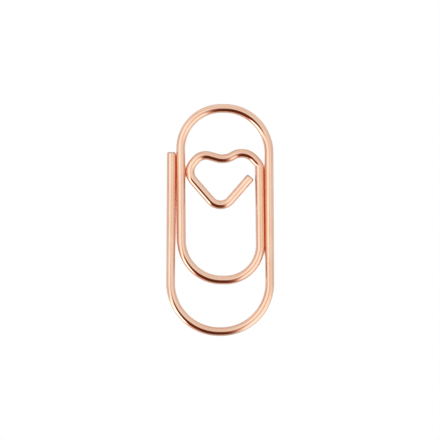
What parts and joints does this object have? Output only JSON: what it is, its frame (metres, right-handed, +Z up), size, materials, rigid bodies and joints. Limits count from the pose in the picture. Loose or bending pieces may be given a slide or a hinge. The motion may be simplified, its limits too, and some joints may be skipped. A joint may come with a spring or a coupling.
{
  "type": "paper clip",
  "caption": "Flat paper clip bent from one round plated wire: an outer loop, an inner loop and a small open heart as the tongue that grips sheets of paper.",
  "frame": {"origin": "under the middle of the clip's length and width, on the surface that it lies on", "axes": "+Y along the clip toward the crown, +X toward the back leg, +Z up off the surface"},
  "size_m": [0.0134, 0.029, 0.0011],
  "materials": {
    "rose_gold_wire": "bright rose-gold plating on drawn steel wire"
  },
  "bodies": {
    "outer_loop": {"lower_bend_right": "rose_gold_wire", "back_leg": "rose_gold_wire", "crown_right": "rose_gold_wire"},
    "outer_arm": {"outer_leg": "rose_gold_wire", "lower_bend_left": "rose_gold_wire"},
    "inner_loop": {"crown_left": "rose_gold_wire", "inner_leg": "rose_gold_wire", "inner_bend_left": "rose_gold_wire"},
    "heart": {"inner_bend_right": "rose_gold_wire", "heart_stem": "rose_gold_wire", "heart_shoulder": "rose_gold_wire", "heart_right_lobe": "rose_gold_wire", "heart_cleft": "rose_gold_wire", "heart_left_lobe": "rose_gold_wire", "heart_left_corner": "rose_gold_wire", "heart_left_flank": "rose_gold_wire", "heart_point": "rose_gold_wire", "heart_tail": "rose_gold_wire"}
  },
  "joints": [
    {"name": "outer_arm_spring", "type": "hinge", "parent": "outer_loop", "child": "outer_arm", "pos_m": [0, -0.01395, 0.00055], "axis": [1, 0, 0], "range_deg": [-8, 8], "stiffness_Nm_per_rad": 0.57},
    {"name": "inner_loop_spring", "type": "hinge", "parent": "outer_loop", "child": "inner_loop", "pos_m": [0.00036, 0.01395, 0.00055], "axis": [-1, 0, 0], "range_deg": [-10, 10], "stiffness_Nm_per_rad": 0.63},
    {"name": "heart_spring", "type": "hinge", "parent": "inner_loop", "child": "heart", "pos_m": [0.00037, -0.0075, 0.00055], "axis": [1, 0, 0], "range_deg": [-6, 6], "stiffness_Nm_per_rad": 0.7}
  ]
}
